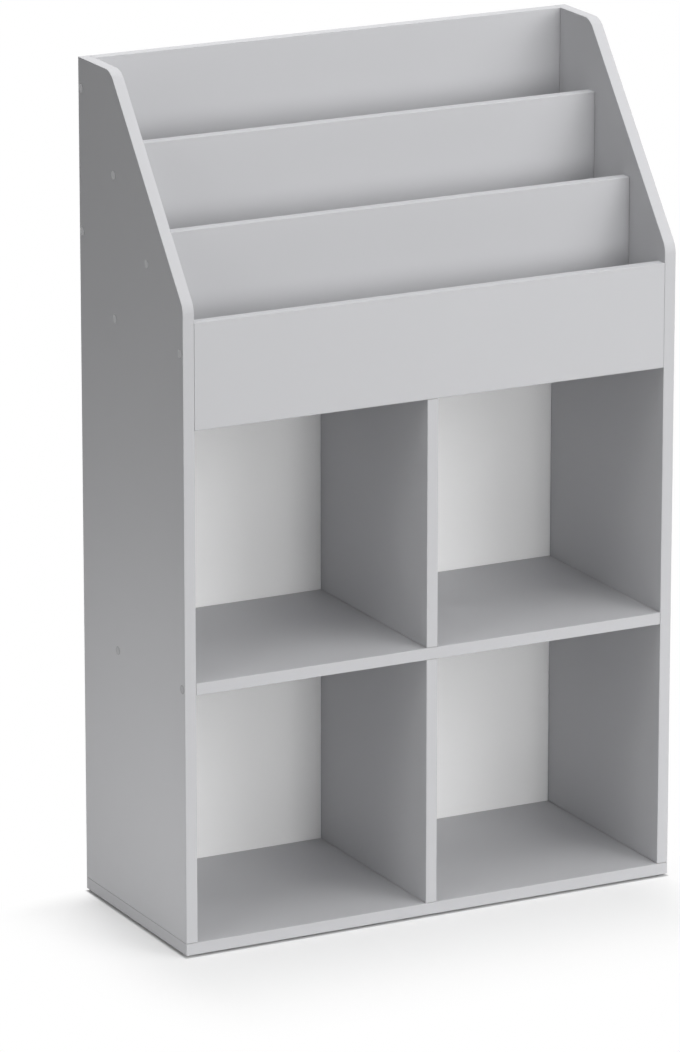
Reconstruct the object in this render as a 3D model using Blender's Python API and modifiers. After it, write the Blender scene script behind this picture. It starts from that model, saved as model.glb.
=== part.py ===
# Kids bookcase: four open cubbies below and three stepped book pockets above, between two slanted sides.
# Metres, +Z up, front towards -Y. The origin is on the floor, under the middle of the bookcase.

import math

import bmesh
import bpy
from mathutils import Euler, Matrix, Vector

# Boards and the spaces between them
BOARD = 0.016  # thickness of every laminated board
CUBBY_WIDTH = 0.336  # clear width of one cubby
CUBBY_HEIGHT = 0.337  # clear height of one cubby
TIER_DEPTH = 0.096  # front of one pocket board to the front of the next
TIER_RISE = 0.096  # top of one pocket board to the top of the next
POCKET_FALL = 0.126  # lip of a pocket down to its floor
SLANT_LIFT = 0.021  # top of the front rail up to the foot of the slanted edge
LAND_DEPTH = 0.096  # level top of a side panel, behind its slanted edge
CORNER_RADIUS = 0.026  # rounding at both ends of the slanted edge
EDGE_EASE = 0.0005  # small flat along the boards' edges
BACK_THICKNESS = 0.003  # fibreboard sheet behind the cubbies
BACK_MARGIN = 0.002  # the sheet stays this far inside the outline it covers
JOINT = 0.0003  # gap where two pieces meet

# Screws, dowels and glides
SCREW_LENGTH = 0.050
SCREW_HEAD_RADIUS = 0.005
SCREW_HEAD_RIM = 0.0008
SCREW_HEAD_SINK = 0.0002  # the head lies this far under the face
SCREW_SHANK_RADIUS = 0.0035
SCREW_CORE_RADIUS = 0.0025
SCREW_DROP = 0.040  # top of an upright board down to its side screw
FOOT_INSET = 0.060  # front or back edge to the screws and dowels of uprights and of the top shelf
DOWEL_RADIUS = 0.004
DOWEL_CHAMFER = 0.001
DOWEL_END_DEPTH = 0.020  # length held in a board's edge
DOWEL_COVER = 0.006  # wood left under a blind hole in a board's face
GLIDE_HEIGHT = 0.003
GLIDE_RADIUS = 0.010
GLIDE_ROUND = 0.001  # rounded rim at the floor
GLIDE_INSET = 0.026  # outer edges of the base to a glide's middle
PIN_RADIUS = 0.0015
PIN_COVER = 0.006  # wood left above a glide's pin
BORE_MOUTH = 0.001  # a bore starts this far outside the face it enters

# Facets
ROUND_STEPS = 12
ARC_STEPS = 10
EASED_ANGLE = math.radians(30)  # edges sharper than this are eased
SMOOTH_ANGLE = math.radians(40)  # turned faces meeting at less than this are shaded smooth
FLAT_ANGLE = math.radians(0.1)  # faces meeting at less than this are one flat
WELD = 0.00001  # points closer than this are one

# Boards of the pockets, from the front tier to the rear one
UPRIGHTS = ("front_pocket_board", "middle_pocket_board", "upper_back_board")
FLOORS = ("middle_pocket_floor", "rear_pocket_floor")
TIERS = range(len(UPRIGHTS) + 1)  # the rail is the first tier
SIDES = (("left", -1), ("right", 1))

# Widths and depths that follow
INNER = CUBBY_WIDTH + BOARD / 2  # middle of the bookcase to the inner face of a side
HALF_WIDTH = INNER + BOARD
COLUMN = (CUBBY_WIDTH + BOARD) / 2  # middle of the bookcase to the middle of a cubby
DEPTH = len(UPRIGHTS) * TIER_DEPTH + BOARD
FRONT = -(DEPTH + JOINT + BACK_THICKNESS) / 2
REAR = FRONT + DEPTH
ROWS = (("front", FRONT + FOOT_INSET), ("rear", REAR - FOOT_INSET))
TIER_FRONTS = [FRONT + tier * TIER_DEPTH for tier in TIERS]
MIDWAYS = [front + BOARD / 2 for front in TIER_FRONTS]  # middle of each board's thickness

# Heights that follow
BASE_LOW = GLIDE_HEIGHT + JOINT
BASE_TOP = BASE_LOW + BOARD
SHELF_LOW = BASE_TOP + CUBBY_HEIGHT
SHELF_TOP = SHELF_LOW + BOARD
DECK_LOW = SHELF_TOP + CUBBY_HEIGHT  # underside of the top shelf and of the rail
DECK_TOP = DECK_LOW + BOARD
RAIL_TOP = DECK_TOP + POCKET_FALL
TIER_TOPS = [RAIL_TOP + tier * TIER_RISE for tier in TIERS]
FLOOR_TOPS = [top - POCKET_FALL for top in TIER_TOPS[:-1]]  # floors of the front, middle and rear pockets
SIDE_TOP = TIER_TOPS[-1]
SLANT_FOOT = RAIL_TOP + SLANT_LIFT

# Turns that point a fastener's head along an axis
HEAD_LEFT = (0, -math.pi / 2, 0)
HEAD_RIGHT = (0, math.pi / 2, 0)
HEAD_DOWN = (math.pi, 0, 0)
HEAD_UP = (0, 0, 0)
HEAD_FRONT = (math.pi / 2, 0, 0)


def finish(name, colour, roughness, metallic=0.0):
    """A plain surface finish."""
    material = bpy.data.materials.new(name)
    material.use_nodes = True
    shader = material.node_tree.nodes["Principled BSDF"]
    shader.inputs["Base Color"].default_value = (*colour, 1)
    shader.inputs["Roughness"].default_value = roughness
    shader.inputs["Metallic"].default_value = metallic
    return material


def add_part(name, mesh, location=(0, 0, 0), turn=(0, 0, 0)):
    """An object of the bookcase, standing under its root."""
    part = bpy.data.objects.new(name, mesh)
    part.location = location
    part.rotation_euler = turn
    part.parent = root
    parts.objects.link(part)
    return part


def mesh_of(holder):
    """The evaluated mesh of an object that was only needed to make it."""
    scene.collection.objects.link(holder)
    graph = bpy.context.evaluated_depsgraph_get()
    mesh = bpy.data.meshes.new_from_object(holder.evaluated_get(graph))
    bpy.data.objects.remove(holder)
    return mesh


def ease_edges(part):
    bevel = part.modifiers.new("eased edges", "BEVEL")
    bevel.width = EDGE_EASE
    bevel.segments = 1
    bevel.limit_method = "ANGLE"
    bevel.angle_limit = EASED_ANGLE


def board(name, low, high, material):
    """A square-cut board between two corners."""
    low, high = Vector(low), Vector(high)
    shape = bmesh.new()
    bmesh.ops.create_cube(shape, size=1, matrix=Matrix.Diagonal((*(high - low), 1)))
    mesh = bpy.data.meshes.new(name)
    shape.to_mesh(mesh)
    shape.free()
    mesh.materials.append(material)
    part = add_part(name, mesh, (low + high) / 2)
    ease_edges(part)
    return part


def rounded_corner(before, corner, after, radius):
    """Points of the arc that rounds one corner of an outline."""
    to_before = (before - corner).normalized()
    to_after = (after - corner).normalized()
    half = to_before.angle(to_after) / 2
    centre = corner + (to_before + to_after).normalized() * radius / math.sin(half)
    start = corner + to_before * radius / math.tan(half) - centre
    sweep = start.angle_signed(corner + to_after * radius / math.tan(half) - centre)
    turns = [Matrix.Rotation(-sweep * step / ARC_STEPS, 2) for step in range(ARC_STEPS + 1)]
    return [centre + turn @ start for turn in turns]


def side_outline():
    """A side panel seen from its side, as points of depth and height, from its lower front corner."""
    low_front = Vector((FRONT, BASE_TOP + JOINT))
    low_rear = Vector((REAR, BASE_TOP + JOINT))
    top_rear = Vector((REAR, SIDE_TOP))
    slant_head = Vector((REAR - LAND_DEPTH, SIDE_TOP))
    slant_foot = Vector((FRONT, SLANT_FOOT))
    head_arc = rounded_corner(top_rear, slant_head, slant_foot, CORNER_RADIUS)
    foot_arc = rounded_corner(slant_head, slant_foot, low_front, CORNER_RADIUS)
    return [low_front, low_rear, top_rear, *head_arc, *foot_arc]


def side_panel(name, middle, material):
    """A side panel cut to its outline, with the middle of its thickness at the given X."""
    curve = bpy.data.curves.new(name, "CURVE")
    curve.dimensions = "2D"
    curve.fill_mode = "BOTH"
    curve.extrude = BOARD / 2
    outline = side_outline()
    spline = curve.splines.new("POLY")
    spline.points.add(len(outline) - 1)
    for point, (depth, height) in zip(spline.points, outline):
        point.co = (depth, height, 0, 1)
    spline.use_cyclic_u = True
    mesh = mesh_of(bpy.data.objects.new(name, curve))
    shape = bmesh.new()
    shape.from_mesh(mesh)
    bmesh.ops.remove_doubles(shape, verts=shape.verts, dist=WELD)
    bmesh.ops.dissolve_limit(shape, angle_limit=FLAT_ANGLE, verts=shape.verts, edges=shape.edges)
    bmesh.ops.recalc_face_normals(shape, faces=shape.faces)
    shape.to_mesh(mesh)
    shape.free()
    mesh.materials.clear()
    mesh.materials.append(material)
    part = add_part(name, mesh, (middle, 0, 0), (math.pi / 2, 0, math.pi / 2))
    ease_edges(part)
    return part


def turned(name, profile, material=None):
    """A solid of revolution about Z, from points of radius and height down its outer side."""
    wire = bpy.data.meshes.new(name + "_profile")
    links = [(point, point + 1) for point in range(len(profile) - 1)]
    wire.from_pydata([(radius, 0, height) for radius, height in profile], links, [])
    holder = bpy.data.objects.new(name, wire)
    turning = holder.modifiers.new("turned", "SCREW")
    turning.steps = turning.render_steps = ROUND_STEPS
    turning.use_merge_vertices = True
    turning.merge_threshold = WELD
    mesh = mesh_of(holder)
    bpy.data.meshes.remove(wire)
    mesh.name = name
    mesh.shade_smooth()
    mesh.set_sharp_from_angle(angle=SMOOTH_ANGLE)
    if material:
        mesh.materials.append(material)
    return mesh


def screw_profile(gap=0.0, mouth=0.0):
    """A countersunk furniture screw, its head's face at 0. A gap and a mouth make its bore."""
    head = SCREW_HEAD_RADIUS + gap
    shank = SCREW_SHANK_RADIUS + gap
    core = SCREW_CORE_RADIUS + gap
    cone_end = SCREW_HEAD_RIM + SCREW_HEAD_RADIUS - SCREW_SHANK_RADIUS
    shank_end = BOARD + gap
    tip = SCREW_LENGTH + gap
    return [
        (0, mouth),
        (head, mouth),
        (head, -SCREW_HEAD_RIM),
        (shank, -cone_end),
        (shank, -shank_end),
        (core, -shank_end - SCREW_SHANK_RADIUS + SCREW_CORE_RADIUS),
        (core, -tip),
        (0, -tip),
    ]


def dowel_profile(length, gap=0.0):
    """A dowel with chamfered ends, centred on its length. A gap makes its bore."""
    radius = DOWEL_RADIUS + gap
    end = length / 2 + gap
    return [
        (0, end),
        (radius - DOWEL_CHAMFER, end),
        (radius, end - DOWEL_CHAMFER),
        (radius, DOWEL_CHAMFER - end),
        (radius - DOWEL_CHAMFER, -end),
        (0, -end),
    ]


def glide_profile():
    """A glide's foot and pin, the top of its foot at 0, from the pin's end down to the floor."""
    pin_end = BOARD - PIN_COVER
    return [
        (0, pin_end),
        (PIN_RADIUS, pin_end - PIN_RADIUS),
        (PIN_RADIUS, 0),
        (GLIDE_RADIUS, 0),
        (GLIDE_RADIUS, GLIDE_ROUND - GLIDE_HEIGHT),
        (GLIDE_RADIUS - GLIDE_ROUND, -GLIDE_HEIGHT),
        (0, -GLIDE_HEIGHT),
    ]


def pin_bore_profile():
    end = BOARD - PIN_COVER + JOINT
    return [(0, end), (PIN_RADIUS + JOINT, end), (PIN_RADIUS + JOINT, -BORE_MOUTH), (0, -BORE_MOUTH)]


def fasten(name, mesh, bore, place, turn, through):
    """A fastener in its place, with its bore noted for each board that it enters."""
    add_part(name, mesh, place, turn)
    placing = Matrix.Translation(place) @ Euler(turn).to_matrix().to_4x4()
    for board_name in through:
        bores.setdefault(board_name, []).append((bore, placing))


def cut_bores():
    """Cuts each board with all the bores noted for it."""
    for board_name, holes in bores.items():
        shape = bmesh.new()
        for bore, placing in holes:
            hole = bore.copy()
            hole.transform(placing)
            shape.from_mesh(hole)
            bpy.data.meshes.remove(hole)
        mesh = bpy.data.meshes.new(board_name + "_bores")
        shape.to_mesh(mesh)
        shape.free()
        cutter = bpy.data.objects.new(board_name + "_bores", mesh)
        cutter.hide_render = True
        cutter.display_type = "WIRE"
        cutters.objects.link(cutter)
        cut = bpy.data.objects[board_name].modifiers.new("bores", "BOOLEAN")
        cut.operation = "DIFFERENCE"
        cut.object = cutter


def add_boards():
    wide = INNER - JOINT
    board("base_panel", (-HALF_WIDTH, FRONT, BASE_LOW), (HALF_WIDTH, REAR, BASE_TOP), laminate)
    side_panel("left_side_panel", -INNER - BOARD / 2, laminate)
    side_panel("right_side_panel", INNER + BOARD / 2, laminate)
    board("middle_shelf", (-wide, FRONT, SHELF_LOW), (wide, REAR, SHELF_TOP), laminate)
    half = BOARD / 2
    for name, low, high in (("lower_divider", BASE_TOP, SHELF_LOW), ("upper_divider", SHELF_TOP, DECK_LOW)):
        board(name, (-half, FRONT, low + JOINT), (half, REAR, high - JOINT), laminate)
    board("front_rail", (-wide, FRONT, DECK_LOW), (wide, FRONT + BOARD, RAIL_TOP), laminate)
    board("top_shelf", (-wide, FRONT + BOARD + JOINT, DECK_LOW), (wide, REAR, DECK_TOP), laminate)
    # Each tier is a floor hung behind the board in front of it, and an upright board standing on that floor.
    for tier, name in enumerate(UPRIGHTS, start=1):
        front, floor = TIER_FRONTS[tier], FLOOR_TOPS[tier - 1]
        board(name, (-wide, front, floor + JOINT), (wide, front + BOARD, TIER_TOPS[tier]), laminate)
    for tier, name in enumerate(FLOORS, start=1):
        front, floor = TIER_FRONTS[tier] + BOARD + JOINT, FLOOR_TOPS[tier]
        rear = TIER_FRONTS[tier + 1] + BOARD
        board(name, (-wide, front, floor - BOARD), (wide, rear, floor), laminate)
    edge = HALF_WIDTH - BACK_MARGIN
    sheet_front = REAR + JOINT
    sheet_low = (-edge, sheet_front, BASE_LOW + BACK_MARGIN)
    sheet_high = (edge, sheet_front + BACK_THICKNESS, FLOOR_TOPS[-1] - BACK_MARGIN)
    board("back_panel", sheet_low, sheet_high, white_sheet)


def add_screws():
    screw = turned("furniture_screw", screw_profile(), steel)
    bore = turned("screw_bore", screw_profile(JOINT, BORE_MOUTH))
    shelf_middle = (SHELF_LOW + SHELF_TOP) / 2
    ends = [("rail", "front_rail", MIDWAYS[0], RAIL_TOP - SCREW_DROP)]
    for tier, name in enumerate(UPRIGHTS, start=1):
        ends.append((name, name, MIDWAYS[tier], TIER_TOPS[tier] - SCREW_DROP))
    for tier, name in enumerate(FLOORS, start=1):
        ends.append((name, name, MIDWAYS[tier + 1], FLOOR_TOPS[tier] - BOARD / 2))
    ends.append(("middle_shelf_front", "middle_shelf", MIDWAYS[0], shelf_middle))
    ends.append(("middle_shelf_rear", "middle_shelf", MIDWAYS[2], shelf_middle))
    for side, sign, turn in (("left", -1, HEAD_LEFT), ("right", 1, HEAD_RIGHT)):
        face = sign * (HALF_WIDTH - SCREW_HEAD_SINK)
        for label, held, depth, height in ends:
            through = (side + "_side_panel", held)
            fasten(f"{side}_{label}_screw", screw, bore, (face, depth, height), turn, through)
    uprights = (
        ("left", -HALF_WIDTH + BOARD / 2, "left_side_panel"),
        ("right", HALF_WIDTH - BOARD / 2, "right_side_panel"),
        ("divider", 0, "lower_divider"),
    )
    for row, depth in ROWS:
        for label, across, held in uprights:
            place = (across, depth, BASE_LOW + SCREW_HEAD_SINK)
            fasten(f"{label}_foot_screw_{row}", screw, bore, place, HEAD_DOWN, ("base_panel", held))
        place = (0, depth, DECK_TOP - SCREW_HEAD_SINK)
        fasten(f"divider_top_screw_{row}", screw, bore, place, HEAD_UP, ("top_shelf", "upper_divider"))


def add_dowels():
    face_depth = BOARD - DOWEL_COVER
    length = face_depth + DOWEL_END_DEPTH
    shift = (DOWEL_END_DEPTH - face_depth) / 2  # from the joint to the middle of the dowel
    dowel = turned("dowel", dowel_profile(length), beech)
    bore = turned("dowel_bore", dowel_profile(length, JOINT))
    long_length = BOARD + 2 * DOWEL_END_DEPTH
    long_dowel = turned("long_dowel", dowel_profile(long_length), beech)
    long_bore = turned("long_dowel_bore", dowel_profile(long_length, JOINT))
    deck_middle = (DECK_LOW + DECK_TOP) / 2
    for row, depth in ROWS:
        place = (0, depth, (SHELF_LOW + SHELF_TOP) / 2)
        through = ("lower_divider", "middle_shelf", "upper_divider")
        fasten(f"divider_dowel_{row}", long_dowel, long_bore, place, HEAD_UP, through)
        for side, sign in SIDES:
            place = (sign * (INNER - shift), depth, deck_middle)
            through = (side + "_side_panel", "top_shelf")
            fasten(f"{side}_top_shelf_dowel_{row}", dowel, bore, place, HEAD_RIGHT, through)
    seats = ("top_shelf", *FLOORS)
    for side, sign in SIDES:
        place = (sign * COLUMN, FRONT + BOARD + shift, deck_middle)
        fasten(f"rail_dowel_{side}", dowel, bore, place, HEAD_FRONT, ("front_rail", "top_shelf"))
        for tier, (name, seat) in enumerate(zip(UPRIGHTS, seats), start=1):
            place = (sign * COLUMN, MIDWAYS[tier], FLOOR_TOPS[tier - 1] + shift)
            fasten(f"{name}_dowel_{side}", dowel, bore, place, HEAD_UP, (seat, name))
    for tier, name in enumerate(FLOORS, start=1):
        place = (0, TIER_FRONTS[tier] + BOARD + shift, FLOOR_TOPS[tier] - BOARD / 2)
        fasten(f"{name}_dowel", dowel, bore, place, HEAD_FRONT, (UPRIGHTS[tier - 1], name))


def add_glides():
    glide = turned("glide", glide_profile(), plastic)
    bore = turned("pin_bore", pin_bore_profile())
    columns = (("left", GLIDE_INSET - HALF_WIDTH), ("middle", 0), ("right", HALF_WIDTH - GLIDE_INSET))
    for row, depth in (("front", FRONT + GLIDE_INSET), ("rear", REAR - GLIDE_INSET)):
        for label, across in columns:
            place = (across, depth, GLIDE_HEIGHT)
            fasten(f"glide_{label}_{row}", glide, bore, place, HEAD_UP, ("base_panel",))


for old in list(bpy.data.objects):
    bpy.data.objects.remove(old)

scene = bpy.context.scene
parts = bpy.data.collections.new("kids_bookcase")
cutters = bpy.data.collections.new("bores")
scene.collection.children.link(parts)
scene.collection.children.link(cutters)
root = bpy.data.objects.new("bookcase_root", None)
parts.objects.link(root)

laminate = finish("grey laminate", (0.58, 0.58, 0.60), 0.45)
white_sheet = finish("white fibreboard", (0.86, 0.86, 0.86), 0.5)
steel = finish("zinc plated steel", (0.62, 0.62, 0.62), 0.35, 1.0)
beech = finish("beech", (0.60, 0.42, 0.25), 0.7)
plastic = finish("dark plastic", (0.06, 0.06, 0.06), 0.5)

bores = {}  # for each board, the bores that are cut in it

add_boards()
add_screws()
add_dowels()
add_glides()
cut_bores()
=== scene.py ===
import math
import bmesh
import bpy
from mathutils import Matrix, Vector


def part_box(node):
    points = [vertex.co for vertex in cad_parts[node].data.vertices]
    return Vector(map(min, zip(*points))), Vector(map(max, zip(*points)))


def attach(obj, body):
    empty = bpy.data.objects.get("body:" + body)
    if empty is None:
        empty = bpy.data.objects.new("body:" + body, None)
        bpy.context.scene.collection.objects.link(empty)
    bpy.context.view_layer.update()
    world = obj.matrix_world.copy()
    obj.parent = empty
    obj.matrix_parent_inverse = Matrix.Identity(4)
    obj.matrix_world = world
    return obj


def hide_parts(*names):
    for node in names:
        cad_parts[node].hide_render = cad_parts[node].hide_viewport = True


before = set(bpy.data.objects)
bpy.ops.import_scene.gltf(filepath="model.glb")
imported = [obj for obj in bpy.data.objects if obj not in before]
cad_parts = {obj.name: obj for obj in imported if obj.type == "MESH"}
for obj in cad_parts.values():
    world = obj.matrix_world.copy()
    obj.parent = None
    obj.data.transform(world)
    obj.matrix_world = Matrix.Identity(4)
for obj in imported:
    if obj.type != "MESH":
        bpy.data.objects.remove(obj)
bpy.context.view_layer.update()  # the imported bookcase: boards, screws, dowels and glides
up = Vector((0, 0, 1))
towards = {  # sides of a board, as the axis that they face along and its sign
    "left": (0, -1),
    "right": (0, 1),
    "front": (1, -1),
    "rear": (1, 1),
    "bottom": (2, -1),
    "top": (2, 1),
}
sameSpot = 0.00001  # points nearer than this share a place
mergeReach = 0.000001  # doubles within this become one point
slightly, mainly, squarely = 0.1, 0.5, 0.9  # how much of a face's normal lies along an axis
print("frame loaded:", len(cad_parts), "nodes")


# Shader maths. A Wire holds one socket, and sums on wires add their Math nodes.
class Wire:
    def __init__(self, tree, socket=None):
        self.tree = tree
        self.socket = socket

    def node(self, kind, settings=None, sockets=None, out=0):
        made = self.tree.nodes.new("ShaderNode" + kind)
        for name, value in (settings or {}).items():
            setattr(made, name, value)
        for name, value in (sockets or {}).items():
            if isinstance(value, Wire):
                self.tree.links.new(value.socket, made.inputs[name])
            else:
                made.inputs[name].default_value = value
        return Wire(self.tree, made.outputs[out])

    def maths(self, operation, first, second):
        return self.node("Math", {"operation": operation}, {0: first, 1: second})

    def __add__(self, other):
        return self.maths("ADD", self, other)

    def __radd__(self, other):
        return self.maths("ADD", other, self)

    def __sub__(self, other):
        return self.maths("SUBTRACT", self, other)

    def __rsub__(self, other):
        return self.maths("SUBTRACT", other, self)

    def __mul__(self, other):
        return self.maths("MULTIPLY", self, other)

    def __rmul__(self, other):
        return self.maths("MULTIPLY", other, self)


def newFinish(name):
    material = bpy.data.materials.new(name)
    material.use_nodes = True
    tree = material.node_tree
    shader = tree.nodes["Principled BSDF"]
    place = Wire(tree).node("TexCoord", out="Object")
    return material, shader, place


def feed(shader, name, value):
    if isinstance(value, Wire):
        value.tree.links.new(value.socket, shader.inputs[name])
    else:
        shader.inputs[name].default_value = value


def grain(place, scale, detail=2.0, stretch=(1, 1, 1)):
    turned = place.node("Mapping", None, {"Vector": place, "Scale": stretch})
    return turned.node("TexNoise", None, {"Vector": turned, "Scale": scale, "Detail": detail})


def blendColours(share, first, second):
    colours = {0: share, 6: (*first, 1), 7: (*second, 1)}
    return share.node("Mix", {"data_type": "RGBA"}, colours, out=2)


def shaded(colour, factor):
    return tuple(part * factor for part in colour)


def swingRoughness(shader, share, look):
    swing = look["roughnessSwing"]
    feed(shader, "Roughness", share * swing + (look["roughness"] - swing / 2))


def addBump(shader, height, strength, distance):
    bump = height.node("Bump", None, {"Strength": strength, "Distance": distance, "Height": height})
    feed(shader, "Normal", bump)


# Even surfaces: slow clouds and fine flecks of tone, and a pearl that breaks up the light
evenSurface = {  # what a look below doesn't say for itself
    "cloudDetail": 3.0,
    "cloudShare": 0.65,  # the flecks give the rest of the tone
    "pearlDetail": 1.0,
    "pearlStrength": 0.35,
    "gloss": 0.5,
    "metallic": 0.0,
}


def evenFinish(name, ownLook):
    look = {**evenSurface, **ownLook}
    material, shader, place = newFinish(name)
    clouds = grain(place, look["clouds"], look["cloudDetail"])
    flecks = grain(place, look["flecks"])
    share = clouds * look["cloudShare"] + flecks * (1 - look["cloudShare"])
    dark = shaded(look["tone"], 1 - look["toneSwing"])
    light = shaded(look["tone"], 1 + look["toneSwing"])
    feed(shader, "Base Color", blendColours(share, dark, light))
    feed(shader, "Metallic", look["metallic"])
    feed(shader, "Specular IOR Level", look["gloss"])
    swingRoughness(shader, flecks, look)
    pearl = grain(place, look["pearl"], look["pearlDetail"])
    addBump(shader, pearl, look["pearlStrength"], look["pearlHeight"])
    return material


# Satin melamine faces, nearly even in tone, with a fine pearl in the pressed surface
melamine = {
    "tone": (0.520, 0.522, 0.537),
    "toneSwing": 0.02,
    "clouds": 6.0,  # waves a metre, as for the patterns below
    "flecks": 260.0,
    "gloss": 0.30,
    "roughness": 0.58,
    "roughnessSwing": 0.08,
    "pearl": 700.0,
    "pearlHeight": 0.00012,
}

# Edging: the same grey in a plastic strip, a little more matt than the faces
edging = {
    "tone": (0.526, 0.528, 0.543),
    "toneSwing": 0.012,
    "clouds": 9.0,
    "flecks": 340.0,
    "gloss": 0.25,
    "roughness": 0.70,
    "roughnessSwing": 0.06,
    "pearl": 420.0,
    "pearlHeight": 0.00008,
}

# Caps: metallised plastic, whose even grey stands out a little from the boards
capPlastic = {
    "tone": (0.290, 0.291, 0.299),
    "toneSwing": 0.03,
    "clouds": 40.0,
    "flecks": 500.0,
    "metallic": 0.7,
    "roughness": 0.42,
    "roughnessSwing": 0.06,
    "pearl": 900.0,
    "pearlHeight": 0.00006,
}

# White lacquer on the front of the back sheet, with the fibres just telegraphing through
lacquer = {
    "tone": (0.930, 0.930, 0.927),
    "toneSwing": 0.012,
    "clouds": 5.0,
    "flecks": 180.0,
    "roughness": 0.40,
    "roughnessSwing": 0.08,
    "pearl": 300.0,
    "pearlHeight": 0.0001,
}

# Dark moulded plastic of the glides
glidePlastic = {
    "tone": (0.050, 0.050, 0.053),
    "toneSwing": 0.12,
    "clouds": 60.0,
    "flecks": 700.0,
    "roughness": 0.52,
    "roughnessSwing": 0.10,
    "pearl": 1100.0,
    "pearlHeight": 0.0001,
}

# Bare particle board in bores and on hidden edges
chipboard = {
    "chips": 240.0,
    "dust": 960.0,
    "chipShare": 0.7,  # the dust gives the rest of the tone
    "dark": (0.235, 0.135, 0.062),
    "light": (0.520, 0.370, 0.215),
    "roughness": 0.9,
    "bumpStrength": 0.6,
    "bumpHeight": 0.0004,
}


def chipboardFinish():
    look = chipboard
    material, shader, place = newFinish("bareChipboard")
    chips = place.node("TexVoronoi", None, {"Vector": place, "Scale": look["chips"]}, out="Color")
    shade = chips.node("SeparateColor", None, {0: chips})
    share = shade * look["chipShare"] + grain(place, look["dust"]) * (1 - look["chipShare"])
    feed(shader, "Base Color", blendColours(share, look["dark"], look["light"]))
    feed(shader, "Roughness", look["roughness"])
    addBump(shader, share, look["bumpStrength"], look["bumpHeight"])
    return material


# Bare brown fibreboard on the rear of the back sheet
fibreboard = {
    "dark": (0.215, 0.125, 0.062),
    "light": (0.345, 0.215, 0.115),
    "fibres": 420.0,
    "fibreDetail": 4.0,
    "alongFibre": 0.35,  # the pattern is drawn out this much, once lying and once standing
    "fibreShare": 0.35,  # each way; the blotches give the rest of the tone
    "blotches": 14.0,
    "blotchDetail": 3.0,
    "roughness": 0.82,
    "bumpStrength": 0.4,
    "bumpHeight": 0.0002,
}


def fibreboardFinish():
    look = fibreboard
    material, shader, place = newFinish("bareFibreboard")
    lying = grain(place, look["fibres"], look["fibreDetail"], (look["alongFibre"], 1, 1))
    standing = grain(place, look["fibres"], look["fibreDetail"], (1, 1, look["alongFibre"]))
    blotches = grain(place, look["blotches"], look["blotchDetail"])
    fibres = lying + standing
    share = fibres * look["fibreShare"] + blotches * (1 - 2 * look["fibreShare"])
    feed(shader, "Base Color", blendColours(share, look["dark"], look["light"]))
    feed(shader, "Roughness", look["roughness"])
    addBump(shader, fibres, look["bumpStrength"], look["bumpHeight"])
    return material


# Zinc plated steel of the screws, nails and glide pins
zinc = {
    "tone": (0.60, 0.61, 0.63),
    "darkest": 0.86,  # shares of the tone
    "lightest": 1.1,
    "spangle": 900.0,
    "spangleDetail": 3.0,
    "roughness": 0.32,
    "roughnessSwing": 0.14,
    "bumpStrength": 0.2,
    "bumpHeight": 0.00008,
}


def zincFinish():
    look = zinc
    material, shader, place = newFinish("zincSteel")
    spangle = grain(place, look["spangle"], look["spangleDetail"])
    dark, light = shaded(look["tone"], look["darkest"]), shaded(look["tone"], look["lightest"])
    feed(shader, "Metallic", 1.0)
    feed(shader, "Base Color", blendColours(spangle, dark, light))
    swingRoughness(shader, spangle, look)
    addBump(shader, spangle, look["bumpStrength"], look["bumpHeight"])
    return material


# Beech dowels: fine grain along the dowel, with short darker flecks
beech = {
    "dark": (0.430, 0.262, 0.135),
    "light": (0.640, 0.455, 0.280),
    "grain": 900.0,
    "grainDetail": 4.0,
    "grainShare": 0.7,  # the flecks give the rest of the tone
    "flecks": 520.0,
    "fleckDetail": 1.0,
    "alongGrain": 0.06,  # the pattern is drawn out this much along the dowel
    "roughness": 0.68,
    "bumpStrength": 0.4,
    "bumpHeight": 0.00015,
}


def beechFinish(axis):
    look = beech
    material, shader, place = newFinish("beechAlong" + "XYZ"[axis])
    stretch = [1, 1, 1]
    stretch[axis] = look["alongGrain"]
    lines = grain(place, look["grain"], look["grainDetail"], stretch)
    flecks = grain(place, look["flecks"], look["fleckDetail"], stretch)
    share = lines * look["grainShare"] + flecks * (1 - look["grainShare"])
    feed(shader, "Base Color", blendColours(share, look["dark"], look["light"]))
    feed(shader, "Roughness", look["roughness"])
    addBump(shader, lines, look["bumpStrength"], look["bumpHeight"])
    return material


finishes = {
    "melamine": evenFinish("greyMelamine", melamine),
    "edging": evenFinish("greyEdging", edging),
    "cap": evenFinish("capPlastic", capPlastic),
    "chipboard": chipboardFinish(),
    "lacquer": evenFinish("whiteLacquer", lacquer),
    "fibreboard": fibreboardFinish(),
    "zinc": zincFinish(),
    "glide": evenFinish("glidePlastic", glidePlastic),
}
beeches = [beechFinish(axis) for axis in range(3)]
print("finishes made:", len(finishes) + len(beeches))


def activate(piece):
    bpy.ops.object.select_all(action="DESELECT")
    piece.select_set(True)
    bpy.context.view_layer.objects.active = piece


def startBox(name, low, high):
    bpy.ops.object.select_all(action="DESELECT")
    bpy.ops.mesh.primitive_cube_add(size=1, location=(low + high) / 2)
    piece = bpy.context.object
    piece.name = name
    piece.scale = high - low
    bpy.ops.object.transform_apply(location=True, rotation=True, scale=True)
    return piece


def pick(piece, kind, rule):
    bpy.ops.mesh.select_mode(type=kind)
    bpy.ops.mesh.select_all(action="DESELECT")
    shape = bmesh.from_edit_mesh(piece.data)
    for part in shape.faces if kind == "FACE" else shape.edges:
        part.select_set(rule(part))
    shape.select_flush_mode()
    bmesh.update_edit_mesh(piece.data)


def middle(edge):
    first, second = edge.verts
    return (first.co + second.co) / 2


def applyModifier(piece, kind, **settings):
    activate(piece)
    modifier = piece.modifiers.new(kind.lower(), kind)
    for name, value in settings.items():
        setattr(modifier, name, value)
    bpy.ops.object.modifier_apply(modifier=modifier.name)


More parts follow.
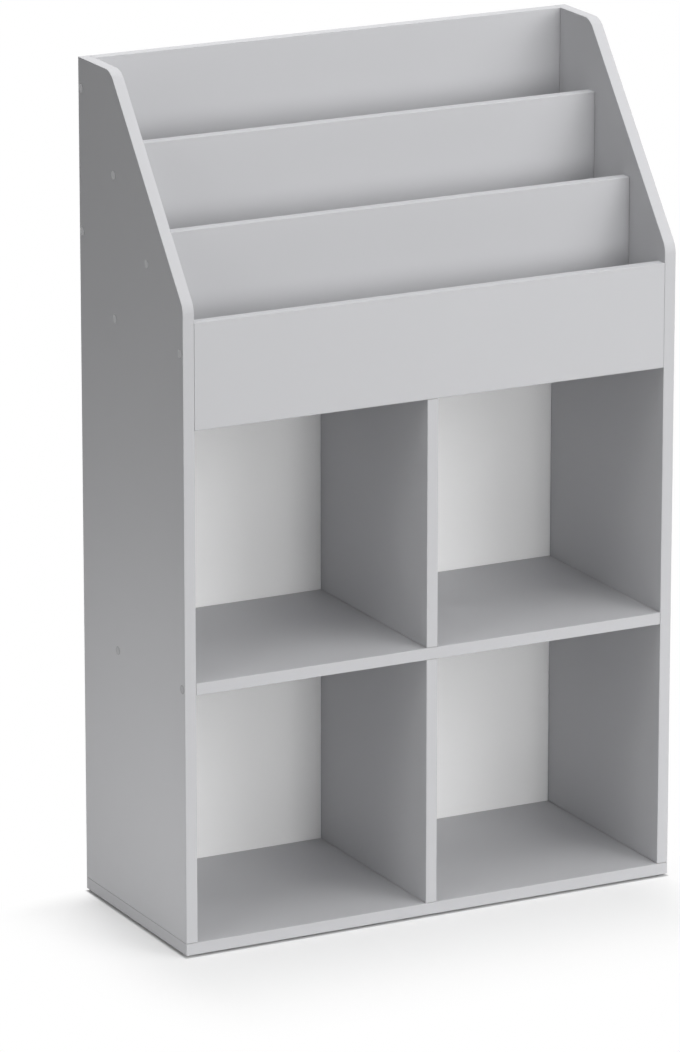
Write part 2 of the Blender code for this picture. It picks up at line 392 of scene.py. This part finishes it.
def smooth(piece, degrees):
    activate(piece)
    bpy.ops.object.shade_smooth_by_angle(angle=math.radians(degrees))
    applyModifier(piece, "WEIGHTED_NORMAL", keep_sharp=True, weight=100)


def paint(piece, *names):
    piece.data.materials.clear()
    for name in names:
        piece.data.materials.append(finishes[name])


def hand(piece, slot, *nodes):
    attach(piece, "root")
    if nodes:
        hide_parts(*nodes)


def copyTo(template, name, place, facing):
    piece = template.copy()
    piece.data = template.data.copy()
    piece.name = name
    bpy.context.scene.collection.objects.link(piece)
    turn = up.rotation_difference(Vector(facing)).to_matrix().to_4x4()
    piece.data.transform(Matrix.Translation(place) @ turn)
    return piece


def joinPieces(pieces):
    activate(pieces[0])
    for piece in pieces:
        piece.select_set(True)
    if len(pieces) > 1:
        bpy.ops.object.join()
    return pieces[0]


# A round piece about Z, drawn out ring by ring from its first disc
def turnRings(name, rings, sides):
    radius, height = rings[0]
    start = (0, 0, height)
    bpy.ops.object.select_all(action="DESELECT")
    bpy.ops.mesh.primitive_circle_add(vertices=sides, radius=radius, fill_type="NGON", location=start)
    piece = bpy.context.object
    piece.name = name
    bpy.ops.object.transform_apply(location=True, rotation=True, scale=True)
    bpy.ops.object.mode_set(mode="EDIT")
    bpy.ops.mesh.select_all(action="SELECT")
    for nextRadius, nextHeight in rings[1:]:
        move = {"value": (0, 0, nextHeight - height)}
        bpy.ops.mesh.extrude_region_move(TRANSFORM_OT_translate=move)
        ratio = nextRadius / radius
        if ratio != 1:
            bpy.ops.transform.resize(value=(ratio, ratio, 1), center_override=(0, 0, nextHeight))
        radius, height = nextRadius, nextHeight
    bpy.ops.mesh.select_all(action="SELECT")
    bpy.ops.mesh.remove_doubles(threshold=mergeReach)
    bpy.ops.mesh.normals_make_consistent(inside=False)
    bpy.ops.object.mode_set(mode="OBJECT")
    return piece


screws = [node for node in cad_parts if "screw" in node]
dowels = [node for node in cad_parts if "dowel" in node]
glides = [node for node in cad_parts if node.startswith("glide")]
bore = {"gap": 0.0003, "overcut": 0.001, "sides": 32}  # room round a fastener, reach past the face


# Where a fastener sits: its head's place, the way its head faces and its axis
def fastenerSeat(node):
    low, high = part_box(node)
    size = high - low
    axis = 2 if node in glides else max(range(3), key=lambda index: size[index])
    headDown = "foot_screw" in node
    headLeft = node.startswith("left") and node.endswith("screw")
    facing = Vector((0, 0, 0))
    facing[axis] = -1 if headDown or headLeft else 1
    seat = (low + high) / 2
    if node in screws:
        seat[axis] = high[axis] if facing[axis] > 0 else low[axis]
    return seat, facing, axis


def lengthAlong(node, axis):
    low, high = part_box(node)
    return (high - low)[axis]


# Board screw: wide flat head with a hexagon socket, plain shank and a coarse thread
screw = {
    "headRadius": 0.005,
    "headRim": 0.0008,
    "shankRadius": 0.0035,
    "shankEnd": 0.016,
    "coreRadius": 0.0025,
    "length": 0.050,
    "tipShare": 0.3,  # of the core's radius
    "crestRadius": 0.0034,
    "pitch": 0.003,
    "threadStart": 0.0195,
    "threadTurns": 9,
    "threadSteps": 24,
    "socketRadius": 0.0023,  # to the hexagon's corners
    "socketDepth": 0.0028,
    "socketSides": 6,
    "sides": 40,
}


def screwRings(gap=0.0, mouth=0.0):
    head, shank, core = (screw[name] + gap for name in ("headRadius", "shankRadius", "coreRadius"))
    neck = -screw["headRim"] - screw["headRadius"] + screw["shankRadius"]
    step = -screw["shankEnd"] - gap
    coreStart = step - screw["shankRadius"] + screw["coreRadius"]
    tip = -screw["length"] - gap
    rings = [(head, mouth), (head, -screw["headRim"]), (shank, neck), (shank, step)]
    rings += [(core, coreStart), (core, tip + core), (core * screw["tipShare"], tip)]
    return rings


def threadRidge():
    depth = screw["crestRadius"] - screw["coreRadius"]
    place = (screw["coreRadius"], 0, -screw["threadStart"])
    upright = (math.pi / 2, 0, 0)
    bpy.ops.object.select_all(action="DESELECT")
    bpy.ops.mesh.primitive_circle_add(vertices=3, radius=depth, location=place, rotation=upright)
    ridge = bpy.context.object
    bpy.ops.object.transform_apply(location=True, rotation=True, scale=True)
    bpy.ops.object.mode_set(mode="EDIT")
    bpy.ops.mesh.select_all(action="SELECT")
    # the triangle's point looks outwards, its base lies in the core
    bpy.ops.transform.rotate(value=math.pi / 2, orient_axis="Y", center_override=place)
    bpy.ops.object.mode_set(mode="OBJECT")
    steps = screw["threadSteps"]
    applyModifier(ridge, "SCREW", angle=math.tau, steps=steps, render_steps=steps,
                  iterations=screw["threadTurns"], screw_offset=-screw["pitch"], use_merge_vertices=False)
    bpy.ops.object.mode_set(mode="EDIT")
    bpy.ops.mesh.select_all(action="SELECT")
    bpy.ops.mesh.remove_doubles(threshold=mergeReach)
    bpy.ops.mesh.fill_holes(sides=4)
    bpy.ops.mesh.select_all(action="SELECT")
    bpy.ops.mesh.normals_make_consistent(inside=False)
    bpy.ops.object.mode_set(mode="OBJECT")
    return ridge


def modelScrew():
    piece = turnRings("screwModel", screwRings(), screw["sides"])
    ridge = threadRidge()
    applyModifier(piece, "BOOLEAN", operation="UNION", object=ridge, solver="EXACT")
    bpy.data.objects.remove(ridge)
    corner = screw["socketRadius"]
    hexagon = [(corner, bore["overcut"]), (corner, -screw["socketDepth"])]
    socket = turnRings("socketCutter", hexagon, screw["socketSides"])
    applyModifier(piece, "BOOLEAN", operation="DIFFERENCE", object=socket, solver="EXACT")
    bpy.data.objects.remove(socket)
    bpy.ops.object.mode_set(mode="EDIT")
    bpy.ops.mesh.select_all(action="SELECT")
    bpy.ops.mesh.dissolve_degenerate(threshold=sameSpot)  # slivers left by the cuts
    bpy.ops.object.mode_set(mode="OBJECT")
    paint(piece, "zinc")
    smooth(piece, degrees=35)
    return piece


# Dowel: chamfered ends and flutes that let the glue past
dowel = {
    "radius": 0.004,
    "chamfer": 0.001,
    "sides": 32,
    "flutes": 8,
    "fluteInset": 0.0001,
    "fluteDepth": 0.0003,
}


def dowelRings(length, gap=0.0):
    radius, end = dowel["radius"] + gap, length / 2 + gap
    taper = dowel["chamfer"]
    return [(radius - taper, end), (radius, end - taper), (radius, taper - end), (radius - taper, -end)]


def modelDowel(length):
    piece = turnRings("dowelModel", dowelRings(length), dowel["sides"])
    every = dowel["sides"] // dowel["flutes"]
    step = math.tau / dowel["sides"]

    def inFlute(face):
        spot = face.calc_center_median()
        turn = round((math.atan2(spot.y, spot.x) - step / 2) / step)
        return abs(face.normal.z) < slightly and turn % every == 0

    bpy.ops.object.mode_set(mode="EDIT")
    pick(piece, "FACE", inFlute)
    bpy.ops.mesh.inset(thickness=dowel["fluteInset"], use_individual=True)
    bpy.ops.transform.shrink_fatten(value=-dowel["fluteDepth"])
    bpy.ops.object.mode_set(mode="OBJECT")
    smooth(piece, degrees=30)
    return piece


# Glide: a plastic foot with a rounded rim, held by a steel pin whose head sits in a recess
glide = {
    "radius": 0.010,
    "height": 0.003,
    "round": 0.0010,
    "roundSteps": 4,
    "upperEase": 0.0003,
    "recessRadius": 0.0042,
    "recessDepth": 0.0012,
    "recessDraft": 0.0003,
    "pinRadius": 0.0015,
    "pinLength": 0.010,
    "pinHead": 0.0028,
    "pinHeadHeight": 0.0006,
    "pinHeadEase": 0.0002,
    "crownShare": 0.7,  # flat part of the pin's head, of its radius
    "pointShare": 0.2,  # the innermost rings, of their radius
    "sides": 48,
}


def glideRings():
    radius, height, curve = glide["radius"], glide["height"], glide["round"]
    pin, pinEnd, ease = glide["pinRadius"], glide["pinLength"], glide["upperEase"]
    recess, roof = glide["recessRadius"], glide["recessDepth"] - height
    head, crown = glide["pinHead"], roof - glide["pinHeadHeight"]
    flat, point = glide["crownShare"], glide["pointShare"]
    rings = [(pin * point, pinEnd), (pin, pinEnd - pin), (pin, 0), (radius - ease, 0), (radius, -ease)]
    for step in range(glide["roundSteps"] + 1):
        turn = math.pi / 2 * step / glide["roundSteps"]
        rings.append((radius - curve + curve * math.cos(turn), curve - height - curve * math.sin(turn)))
    rings += [(recess, -height), (recess - glide["recessDraft"], roof), (head, roof)]
    rings += [(head, crown + glide["pinHeadEase"]), (head * flat, crown), (head * point, crown)]
    return rings


def modelGlide():
    piece = turnRings("glideModel", glideRings(), glide["sides"])
    paint(piece, "glide", "zinc")
    steelReach = glide["pinHead"] + sameSpot
    for face in piece.data.polygons:
        spread = max(piece.data.vertices[index].co.xy.length for index in face.vertices)
        face.material_index = 1 if spread < steelReach else 0
    smooth(piece, degrees=35)
    return piece


# Boards. Each is a chipboard core with melamine faces, and its visible edges carry edging strips.
boardMake = {
    "edging": 0.0008,  # thickness of a strip
    "seam": 0.00004,  # glue line between strip and core
    "stripRound": 0.0006,
    "stripSteps": 3,
    "footRelief": 0.0005,  # strips of uprights end this far above the board that they stand on
    "coreEase": 0.00015,
    "bite": 0.001,  # a fastener that goes in further than this gets its bore
}
edgedSides = {
    "base_panel": ("front", "left", "right"),
    "middle_shelf": ("front",),
    "lower_divider": ("front",),
    "upper_divider": ("front",),
    "top_shelf": (),
    "front_rail": ("top", "bottom"),
    "front_pocket_board": ("top",),
    "middle_pocket_board": ("top",),
    "upper_back_board": ("top",),
    "middle_pocket_floor": (),
    "rear_pocket_floor": (),
}
laminatedEnds = {  # axes of cut ends that show in a joint
    "front_rail": (0,),
    "lower_divider": (1,),
    "upper_divider": (1,),
}


def cutAway(low, high, side, depth):
    low, high = low.copy(), high.copy()
    axis, sign = towards[side]
    if sign > 0:
        high[axis] -= depth
    else:
        low[axis] += depth
    return low, high


def keepOnly(low, high, side, depth):
    low, high = low.copy(), high.copy()
    axis, sign = towards[side]
    if sign > 0:
        low[axis] = high[axis] - depth
    else:
        high[axis] = low[axis] + depth
    return low, high


def roundEdges(piece, rule, width, segments):
    bpy.ops.object.mode_set(mode="EDIT")
    pick(piece, "EDGE", rule)
    bpy.ops.mesh.bevel(offset=width, segments=segments, affect="EDGES", profile=0.5)
    bpy.ops.object.mode_set(mode="OBJECT")


# Rounds the outer edges of a strip and hands it over
def finishEdging(piece, rule):
    roundEdges(piece, rule, boardMake["stripRound"], boardMake["stripSteps"])
    paint(piece, "edging")
    smooth(piece, degrees=40)
    hand(piece, "grey_laminate")


def straightEdging(name, low, high, side):
    piece = startBox(name, low, high)
    axis, sign = towards[side]
    face = high[axis] if sign > 0 else low[axis]

    def onFace(edge):
        return all(abs(vert.co[axis] - face) < sameSpot for vert in edge.verts)

    finishEdging(piece, onFace)


def reachesInto(node, low, high):
    nodeLow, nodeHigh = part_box(node)
    bite = boardMake["bite"]
    return all(
        nodeLow[axis] < high[axis] - bite and nodeHigh[axis] > low[axis] + bite
        for axis in range(3)
    )


def drill(piece, low, high):
    bits = []
    for node in screws + dowels + glides:
        if reachesInto(node, low, high):
            seat, facing, axis = fastenerSeat(node)
            if node in screws:
                rings = screwRings(bore["gap"], bore["overcut"])
            elif node in dowels:
                rings = dowelRings(lengthAlong(node, axis), bore["gap"])
            else:
                seat.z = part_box("base_panel")[0].z
                pinBore = glide["pinRadius"] + bore["gap"]
                rings = [(pinBore, glide["pinLength"]), (pinBore, -bore["overcut"])]
            model = turnRings("bit", rings, bore["sides"])
            bits.append(copyTo(model, "bit", seat, facing))
            bpy.data.objects.remove(model)
    if not bits:
        return
    cutter = joinPieces(bits)
    paint(cutter, "chipboard")
    applyModifier(piece, "BOOLEAN", operation="DIFFERENCE", object=cutter, solver="EXACT",
                  material_mode="TRANSFER")
    bpy.data.objects.remove(cutter)


def faceCore(piece, *laminated):
    paint(piece, "melamine", "chipboard")
    for face in piece.data.polygons:
        face.material_index = 0 if any(abs(face.normal[axis]) > mainly for axis in laminated) else 1


# Drills a finished core for its fasteners and hands it over in the board's place
def finishCore(core, node):
    drill(core, *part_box(node))
    smooth(core, degrees=30)
    hand(core, "grey_laminate", node)


def modelBoard(node):
    low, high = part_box(node)
    thickAxis = min(range(3), key=lambda index: high[index] - low[index])
    for side in edgedSides[node]:
        stripLow, stripHigh = keepOnly(low, high, side, boardMake["edging"])
        if thickAxis == 0:
            stripLow.z += boardMake["footRelief"]
        straightEdging(f"{node}_{side}_edging", stripLow, stripHigh, side)
        low, high = cutAway(low, high, side, boardMake["edging"] + boardMake["seam"])
    core = startBox(node + "_core", low, high)
    roundEdges(core, lambda edge: True, boardMake["coreEase"], segments=1)
    faceCore(core, thickAxis, *laminatedEnds.get(node, ()))
    finishCore(core, node)


for node in edgedSides:
    modelBoard(node)
print("boards made:", len(edgedSides))

# Side panels: the upper front corner is sawn off on a slant, and both corners of the slant are rounded
sidePanel = {
    "slantLift": 0.021,  # foot of the slant above the rail
    "landDepth": 0.096,  # flat top behind the slant
    "cornerRadius": 0.026,
    "cornerSteps": 14,
    "ease": 0.0004,
    "easedFrom": 0.8,  # edges that turn further than this, in radians, are eased
}


def panelBlank(name, low, high, setBack):
    foot = Vector((0, low.y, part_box("front_rail")[1].z + sidePanel["slantLift"]))
    head = Vector((0, high.y - sidePanel["landDepth"], high.z))
    slant = (head - foot).normalized()
    outward = Vector((0, -slant.z, slant.y))
    start = foot - outward * setBack
    piece = startBox(name, low + Vector((0, setBack, 0)), high - Vector((0, 0, setBack)))
    bpy.ops.object.mode_set(mode="EDIT")
    bpy.ops.mesh.select_all(action="SELECT")
    bpy.ops.mesh.bisect(plane_co=start, plane_no=outward, use_fill=True, clear_outer=True)
    footTurn = math.acos(slant.z)
    for turn, isCorner in (
        (footTurn, lambda spot: abs(spot.y - low.y - setBack) < sameSpot),
        (math.pi / 2 - footTurn, lambda spot: abs(spot.z - high.z + setBack) < sameSpot),
    ):
        def rounded(edge):
            spot = middle(edge)
            across = abs(edge.verts[0].co.x - edge.verts[1].co.x) > sameSpot
            return across and abs((spot - start).dot(outward)) < sameSpot and isCorner(spot)

        pick(piece, "EDGE", rounded)
        reach = (sidePanel["cornerRadius"] - setBack) * math.tan(turn / 2)
        bpy.ops.mesh.bevel(offset=reach, segments=sidePanel["cornerSteps"], affect="EDGES", profile=0.5)
    bpy.ops.object.mode_set(mode="OBJECT")
    return piece


# The strip that runs up the front edge, round both corners of the slant and along the top
def bentEdging(name, low, high):
    piece = panelBlank(name, low, high, 0)

    def offStrip(face):
        return abs(face.normal.x) > mainly or face.normal.y > mainly or face.normal.z < -mainly

    def onRim(edge):
        sides = [face for face in edge.link_faces if abs(face.normal.x) > squarely]
        tops = [face for face in edge.link_faces if face.normal.y < -slightly or face.normal.z > slightly]
        return bool(sides) and any(abs(face.normal.x) < slightly for face in tops)

    bpy.ops.object.mode_set(mode="EDIT")
    pick(piece, "FACE", offStrip)
    bpy.ops.mesh.delete(type="FACE")
    bpy.ops.object.mode_set(mode="OBJECT")
    applyModifier(piece, "SOLIDIFY", thickness=boardMake["edging"], offset=-1, use_even_offset=True)
    finishEdging(piece, onRim)


def modelSide(node):
    low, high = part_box(node)
    strip, setBack = boardMake["edging"], boardMake["edging"] + boardMake["seam"]
    bentEdging(node + "_front_edging", low + Vector((0, 0, boardMake["footRelief"])), high)
    below = high - Vector((0, 0, setBack))
    straightEdging(node + "_rear_edging", *keepOnly(low, below, "rear", strip), "rear")
    core = panelBlank(node + "_core", *cutAway(low, high, "rear", setBack), setBack)

    def isSharp(edge):
        return edge.calc_face_angle() > sidePanel["easedFrom"]

    roundEdges(core, isSharp, sidePanel["ease"], segments=1)
    faceCore(core, 0)
    finishCore(core, node)


for node in ("left_side_panel", "right_side_panel"):
    modelSide(node)
print("side panels made")

# Back sheet: lacquered towards the cubbies, bare fibreboard behind, nailed to the rear edges of the boards
backSheet = {"ease": 0.0003, "easeSteps": 2, "nailSpacing": 0.115}
nail = {
    "headRadius": 0.0018,
    "headHeight": 0.0004,
    "dome": ((0.3, 1.0), (0.75, 0.85), (1.0, 0.4), (1.0, 0.0)),  # shares of that radius and height
    "shankRadius": 0.0007,
    "length": 0.018,
    "point": 3,  # length of the point, in shank radii
    "tipShare": 0.1,  # of the shank's radius
    "sides": 20,
}


def modelBackSheet():
    low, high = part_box("back_panel")
    piece = startBox("back_panel_sheet", low, high)
    roundEdges(piece, lambda edge: True, backSheet["ease"], backSheet["easeSteps"])
    paint(piece, "lacquer", "fibreboard")
    for face in piece.data.polygons:
        face.material_index = 0 if face.normal.y < -squarely else 1
    smooth(piece, degrees=40)
    hand(piece, "white_fibreboard", "back_panel")


def modelNail():
    shank, end = nail["shankRadius"], -nail["length"]
    rings = [(nail["headRadius"] * out, nail["headHeight"] * rise) for out, rise in nail["dome"]]
    rings += [(shank, 0), (shank, end + shank * nail["point"]), (shank * nail["tipShare"], end)]
    piece = turnRings("nailModel", rings, nail["sides"])
    paint(piece, "zinc")
    smooth(piece, degrees=50)
    return piece


def between(start, end, spacing):
    count = max(1, round(abs(end - start) / spacing))
    return [start + (end - start) * step / count for step in range(count + 1)]


def nailSpots():
    rows = ("base_panel", "middle_shelf", "top_shelf", "rear_pocket_floor")
    heights = [sum(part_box(node), Vector()).z / 2 for node in rows]
    columns = [sum(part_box(node), Vector()).x / 2 for node in ("left_side_panel", "right_side_panel")]
    spots = []
    for height in heights:
        spots += [(across, height) for across in between(*columns, backSheet["nailSpacing"])]
    for lower, upper in zip(heights, heights[1:]):
        inner = between(lower, upper, backSheet["nailSpacing"])[1:-1]
        spots += [(across, height) for across in columns for height in inner]
        if upper <= heights[2]:  # the divider ends under the top shelf
            spots += [(0, height) for height in inner]
    return spots


def nailBack():
    model = modelNail()
    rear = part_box("back_panel")[1].y
    nails = [copyTo(model, "nail", (across, rear, height), (0, 1, 0)) for across, height in nailSpots()]
    bpy.data.objects.remove(model)
    joined = joinPieces(nails)
    joined.name = "back_panel_nails"
    hand(joined, "screw_steel")
    return len(nails)


modelBackSheet()
print("back sheet made, with", nailBack(), "nails")

# Screws, dowels and glides, each modelled once and copied to its seats
screwModel = modelScrew()
for node in screws:
    seat, facing = fastenerSeat(node)[:2]
    hand(copyTo(screwModel, node + "_turned", seat, facing), "screw_steel", node)
bpy.data.objects.remove(screwModel)

dowelModels = {}
for node in dowels:
    seat, facing, axis = fastenerSeat(node)
    length = lengthAlong(node, axis)
    size = round(length, 4)  # dowels that agree to a tenth of a millimetre share a model
    if size not in dowelModels:
        dowelModels[size] = modelDowel(length)
    piece = copyTo(dowelModels[size], node + "_fluted", seat, facing)
    piece.data.materials.append(beeches[axis])
    hand(piece, "dowel_beech", node)
for model in dowelModels.values():
    bpy.data.objects.remove(model)

glideModel = modelGlide()
for node in glides:
    seat, facing = fastenerSeat(node)[:2]
    seat.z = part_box(node)[0].z + glide["height"]
    hand(copyTo(glideModel, node + "_moulded", seat, facing), "glide_plastic", node)
bpy.data.objects.remove(glideModel)
print("fasteners made:", len(screws), "screws,", len(dowels), "dowels,", len(glides), "glides")

# Low domed caps over the side screws, and over the one screw that shows in the front pocket
cap = {
    "radius": 0.0060,
    "height": 0.0006,
    "rim": 0.00025,
    "undercut": 0.0001,
    "undercutShare": 0.4,  # of the rim's height
    "domeSteps": 6,
    "stepsToTop": 6.5,  # the last half step stays flat
    "flatness": 0.6,
    "sides": 48,
}


def modelCap():
    radius, height, rim = cap["radius"], cap["height"], cap["rim"]
    rings = [(radius - cap["undercut"], 0), (radius, rim * cap["undercutShare"]), (radius, rim)]
    for step in range(1, cap["domeSteps"] + 1):
        turn = math.pi / 2 * step / cap["stepsToTop"]
        rings.append((radius * math.cos(turn) ** cap["flatness"], rim + (height - rim) * math.sin(turn)))
    piece = turnRings("capModel", rings, cap["sides"])
    paint(piece, "cap")
    smooth(piece, degrees=60)
    return piece


capModel = modelCap()
capped = [node for node in screws if node.startswith(("left", "right")) and "foot" not in node]
for node in capped + ["divider_top_screw_front"]:
    seat, facing, axis = fastenerSeat(node)
    board = "top_shelf" if axis == 2 else node.split("_")[0] + "_side_panel"
    low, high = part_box(board)
    seat[axis] = high[axis] if facing[axis] > 0 else low[axis]
    hand(copyTo(capModel, node + "_cap", seat, facing), "grey_laminate")
bpy.data.objects.remove(capModel)
print("caps made:", len(capped) + 1)

# Studio: a pale floor that stays white round the bookcase, soft lamps and an even sky
studio = {
    "floorRadius": 40.0,
    "floorSides": 96,
    "floorSeen": 0.62,  # colour that the camera sees
    "floorGlow": 0.335,
    "gapShadeTone": 0.74,  # the colour in the gap under the base, where nothing glows: leaving the glow out there paints shade into the gap
    "gapShadeEdge": (0.004, 0.0025, 1.0),  # the painted shade in the gap fades out from the base's outline to the open floor
    "shadowReach": (0.18, 0.34, 1.0),  # left of the bookcase and in front of it the floor keeps its shadow, then it is painted plain white
    "whiteFrom": (0.26, 0.09, 0.0),  # the floor on the right and at the rear starts to be painted white here, over its shadow
    "shadowEnd": (0.16, 0.07, 1.0),
    "floorBounce": 0.85,  # colour that lights the bookcase near it: a painted pool of light on the floor round the bookcase
    "farBounce": 0.05,
    "bounceRadius": 1.0,
    "bounceFade": 0.8,
    "sky": 0.02,
}
lamps = {  # place, what it is aimed at, width, height, power
    "key": ((1.7, -3.2, 2.0), (0.0, 0.0, 0.6), 1.4, 2.2, 50.0),
    "rightKey": ((2.8, -2.2, 2.2), (0.0, 0.0, 0.5), 1.5, 1.5, 26.0),
    "front": ((0.3, -6.0, 1.3), (0.0, 0.0, 0.6), 1.4, 2.5, 67.0),
    "tallFront": ((0.4, -5.0, 2.0), (0.0, 0.0, 0.6), 2.0, 3.6, 51.0),
    "overhead": ((0.0, -0.3, 3.4), (0.0, -0.3, 0.0), 2.5, 2.5, 50.0),
    "rearTop": ((0.8, 2.6, 3.2), (0.0, 0.0, 0.9), 2.0, 2.0, 56.0),
    "rear": ((0.2, 3.6, 1.0), (0.0, 0.0, 0.6), 1.6, 1.6, 26.0),
    "leftHigh": ((-2.4, -1.0, 2.4), (0.2, 0.0, 0.95), 1.0, 1.0, 8.0),
    "leftFill": ((-2.5, -1.2, 1.3), (0.0, 0.0, 0.5), 1.2, 1.2, 6.0),
    "lowLeft": ((-0.95, -0.1, 0.18), (0.0, 0.0, 0.18), 0.5, 0.2, 0.86),
}


def seenShare(tree):
    rays = Wire(tree)
    seen = rays.node("LightPath", out="Is Camera Ray")
    for name in ("Is Glossy Ray", "Is Transmission Ray"):
        seen = seen.maths("MAXIMUM", seen, rays.node("LightPath", out=name))
    return seen


def lengthOf(way):
    return way.node("VectorMath", {"operation": "LENGTH"}, {0: way}, out="Value")


def addWays(first, second):
    return first.node("VectorMath", {"operation": "ADD"}, {0: first, 1: second})


# How far one place lies past another on each axis, in shares of the reach
def stretchPast(spot, place, other, reach):
    past = spot.node("VectorMath", {"operation": "SUBTRACT"}, {0: place, 1: other})
    past = spot.node("VectorMath", {"operation": "MAXIMUM"}, {0: past, 1: (0, 0, 0)})
    return spot.node("VectorMath", {"operation": "DIVIDE"}, {0: past, 1: reach})


def fadeBetween(distance, start, end):
    smoothly = {"interpolation_type": "SMOOTHSTEP"}
    return distance.node("MapRange", smoothly, {"Value": distance, "From Min": start, "From Max": end})


def floorFinish():
    material = bpy.data.materials.new("paleFloor")
    material.use_nodes = True
    tree = material.node_tree
    tree.nodes.remove(tree.nodes["Principled BSDF"])
    seen = seenShare(tree)
    spot = seen.node("TexCoord", out="Object")
    low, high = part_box("base_panel")
    # Painted light: away from the left and front, the camera sees the floor painted plain white over the
    # shadow that falls there
    before = stretchPast(spot, low, spot, studio["shadowReach"])
    behind = stretchPast(spot, spot, studio["whiteFrom"], studio["shadowEnd"])
    far = fadeBetween(lengthOf(addWays(before, behind)), 0, 1)
    # Painted shade under the base: inside the base's outline the glow is left out and the floor takes the
    # gap's tone
    gap = studio["gapShadeEdge"]
    beside = addWays(stretchPast(spot, low, spot, gap), stretchPast(spot, spot, high, gap))
    clear = fadeBetween(lengthOf(beside), 0, 1)
    # Painted light: the floor's colour for light bouncing onto the bookcase is bright near it and fades
    # dark further out, a pool of light painted round it
    near = studio["bounceRadius"]
    away = fadeBetween(lengthOf(spot), near, near + studio["bounceFade"])
    bounce = away * (studio["farBounce"] - studio["floorBounce"]) + studio["floorBounce"]
    shown = clear * (studio["floorSeen"] - studio["gapShadeTone"]) + studio["gapShadeTone"]
    tone = seen * shown + (1 - seen) * bounce
    matt = seen.node("BsdfDiffuse", None, {"Color": tone})
    glow = seen.node("Emission", None, {"Color": seen * clear * studio["floorGlow"], "Strength": 1.0})
    lit = seen.node("AddShader", None, {0: matt, 1: glow})
    white = seen.node("Emission", None, {"Color": (1, 1, 1, 1), "Strength": 1.0})
    surface = seen.node("MixShader", None, {0: far * clear * seen, 1: lit, 2: white})
    tree.links.new(surface.socket, tree.nodes["Material Output"].inputs["Surface"])
    return material


def makeFloor():
    sides, radius = studio["floorSides"], studio["floorRadius"]
    bpy.ops.object.select_all(action="DESELECT")
    bpy.ops.mesh.primitive_circle_add(vertices=sides, radius=radius, fill_type="NGON")
    floor = bpy.context.object
    floor.name = "floor"
    floor.data.materials.append(floorFinish())


def makeSky():
    world = bpy.data.worlds.new("studioSky")
    world.use_nodes = True
    bpy.context.scene.world = world
    tree = world.node_tree
    seen = seenShare(tree)
    strength = seen + (1 - seen) * studio["sky"]
    background = tree.nodes["Background"]
    background.inputs["Color"].default_value = (1, 1, 1, 1)
    tree.links.new(strength.socket, background.inputs["Strength"])


def addLamp(name, place, aim, width, height, power):
    bpy.ops.object.light_add(type="AREA", location=place)
    lamp = bpy.context.object
    lamp.name = name
    lamp.rotation_euler = (Vector(aim) - Vector(place)).to_track_quat("-Z", "Y").to_euler()
    lamp.data.shape = "RECTANGLE"
    lamp.data.size = width
    lamp.data.size_y = height
    lamp.data.energy = power
    lamp.visible_camera = False


makeFloor()
makeSky()
for name, setup in lamps.items():
    addLamp(name, *setup)
print("studio lit by", len(lamps), "lamps and the sky")

# Camera at the photograph's angle
camera = {
    "place": (-4.066, -7.770, 3.036),
    "azimuth": -27.295,
    "elevation": 16.138,
    "lens": 236.2,
    "sensor": 36.0,
    "clipEnd": 200.0,
}
pitch, heading = math.radians(90 - camera["elevation"]), math.radians(camera["azimuth"])
bpy.ops.object.camera_add(location=camera["place"], rotation=(pitch, 0, heading))
eye = bpy.context.object
eye.data.lens = camera["lens"]
eye.data.sensor_width = camera["sensor"]
eye.data.clip_end = camera["clipEnd"]
bpy.context.scene.camera = eye
bpy.context.scene.view_settings.view_transform = "Standard"
